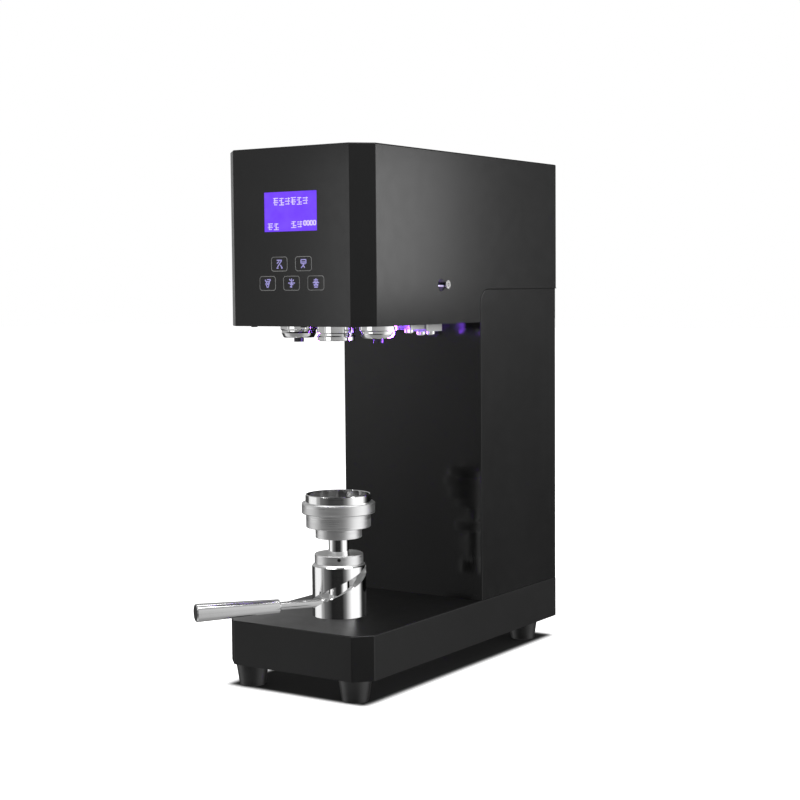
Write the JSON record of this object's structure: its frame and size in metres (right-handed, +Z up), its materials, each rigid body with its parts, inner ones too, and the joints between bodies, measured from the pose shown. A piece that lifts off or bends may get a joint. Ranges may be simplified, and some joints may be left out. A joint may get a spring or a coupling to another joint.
{
  "type": "can seaming machine",
  "caption": "Desktop machine that seams a lid onto a cup or can: tray on a lever-raised lifter, driven chuck and roller arms under a boxed head, on a column and base.",
  "frame": {"origin": "on the floor, on the machine's centre plane, midway between the lever's tip and the head's rear face", "axes": "+Z up, +Y towards the rear of the machine, +X to the right as the user faces the panel"},
  "size_m": [0.2079, 0.4913, 0.6076],
  "materials": {
    "black_paint": "satin black powder coat",
    "gloss_panel": "gloss black lacquer",
    "rubber": "matt",
    "dark_plastic": "fine texture",
    "touch_glass": "smooth",
    "polished_steel": "polished",
    "steel": "machined",
    "black_steel": "black oxide",
    "bright_screw": "plated",
    "aluminium": "cast and machined",
    "belt_rubber": "matt",
    "board": "solder mask",
    "led": "diffusing sleeve over violet lights"
  },
  "bodies": {
    "root": {"arm_gear_motor": "aluminium", "arm_pivot_posts": "steel", "arm_stop_blocks": "steel", "barrel_bolts": "black_steel", "barrel_cap": "polished_steel", "barrel_mount_plate": "steel", "base_plate": "steel", "base_shell": "black_paint", "cap_grub_screw": "black_steel", "column_frame": "steel", "column_front_panel": "gloss_panel", "column_shell": "black_paint", "control_board": "board", "cover_screws": "black_steel", "deck_plate": "steel", "drive_belt": "belt_rubber", "foot_screws": "black_steel", "head_front_panel": "black_paint", "head_rear_cover": "black_paint", "head_shell": "black_paint", "lcd_module": "board", "lcd_window": "touch_glass", "led_strip": "led", "lift_barrel": "polished_steel", "main_motor": "aluminium", "motor_capacitor": "aluminium", "pivot_bolts": "bright_screw", "power_inlet": "dark_plastic", "power_supply": "aluminium", "rear_panel": "black_paint", "rubber_feet": "rubber", "side_socket_screw": "polished_steel", "spindle_bearings": "steel", "spindle_housing": "steel", "stop_bumpers": "rubber", "switch_frame": "dark_plastic", "touch_board": "board", "touch_keys": "touch_glass", "underside_cover": "black_paint"},
    "lift": {"tray_bearing": "steel"},
    "lever": {"lift_shaft": "polished_steel", "bearing_housing": "polished_steel", "lever_rod": "polished_steel", "lever_grip": "polished_steel"},
    "tray": {"tray_hub": "polished_steel", "can_tray": "polished_steel", "tray_mat": "rubber"},
    "spindle": {"spindle_shaft": "steel", "spindle_pulley": "aluminium", "seaming_chuck": "polished_steel", "chuck_screw": "black_steel"},
    "motor_rotor": {"motor_pulley": "aluminium"},
    "rocker": {"arm_rocker": "steel"},
    "first_arm": {"first_arm": "steel", "first_roller_bolt": "black_steel"},
    "second_arm": {"second_arm": "steel", "second_roller_bolt": "black_steel"},
    "first_roller": {"first_roller": "polished_steel"},
    "second_roller": {"second_roller": "polished_steel"},
    "switch": {"power_switch": "dark_plastic"}
  },
  "joints": [
    {"name": "lift_slide", "type": "slide", "parent": "root", "child": "lift", "axis": [0, 0, 1], "range_m": [0, 0.0375]},
    {"name": "lever_swing", "type": "hinge", "parent": "lift", "child": "lever", "pos_m": [0, -0.0996, 0.0912], "axis": [0, 0, 1], "range_deg": [0, 150]},
    {"name": "tray_spin", "type": "hinge", "parent": "lift", "child": "tray", "pos_m": [0, -0.0996, 0.1946], "axis": [0, 0, 1], "continuous": true},
    {"name": "spindle_spin", "type": "hinge", "parent": "root", "child": "spindle", "pos_m": [0, -0.0996, 0.44], "axis": [0, 0, 1], "continuous": true},
    {"name": "motor_spin", "type": "hinge", "parent": "root", "child": "motor_rotor", "pos_m": [0, 0.1364, 0.44], "axis": [0, 0, 1], "continuous": true},
    {"name": "rocker_swing", "type": "hinge", "parent": "root", "child": "rocker", "pos_m": [0, -0.0426, 0.43], "axis": [0, 0, 1], "range_deg": [-10, 10]},
    {"name": "first_arm_swing", "type": "hinge", "parent": "root", "child": "first_arm", "pos_m": [0.062, -0.0426, 0.42], "axis": [0, 0, 1], "range_deg": [-10, 10]},
    {"name": "second_arm_swing", "type": "hinge", "parent": "root", "child": "second_arm", "pos_m": [-0.062, -0.0426, 0.42], "axis": [0, 0, 1], "range_deg": [-10, 10]},
    {"name": "first_roller_spin", "type": "hinge", "parent": "first_arm", "child": "first_roller", "pos_m": [0.056, -0.0966, 0.404], "axis": [0, 0, 1], "continuous": true},
    {"name": "second_roller_spin", "type": "hinge", "parent": "second_arm", "child": "second_roller", "pos_m": [-0.056, -0.0966, 0.404], "axis": [0, 0, 1], "continuous": true},
    {"name": "power_switch_rock", "type": "hinge", "parent": "root", "child": "switch", "pos_m": [0.038, 0.2423, 0.128], "axis": [0, 0, 1], "range_deg": [0, 12]}
  ],
  "couplings": [
    {"joint": "lever_swing", "follows": "lift_slide", "rad_per_m": 69.81},
    {"joint": "motor_spin", "follows": "spindle_spin", "ratio": 2},
    {"joint": "first_arm_swing", "follows": "rocker_swing", "ratio": -1},
    {"joint": "second_arm_swing", "follows": "rocker_swing", "ratio": -1}
  ]
}
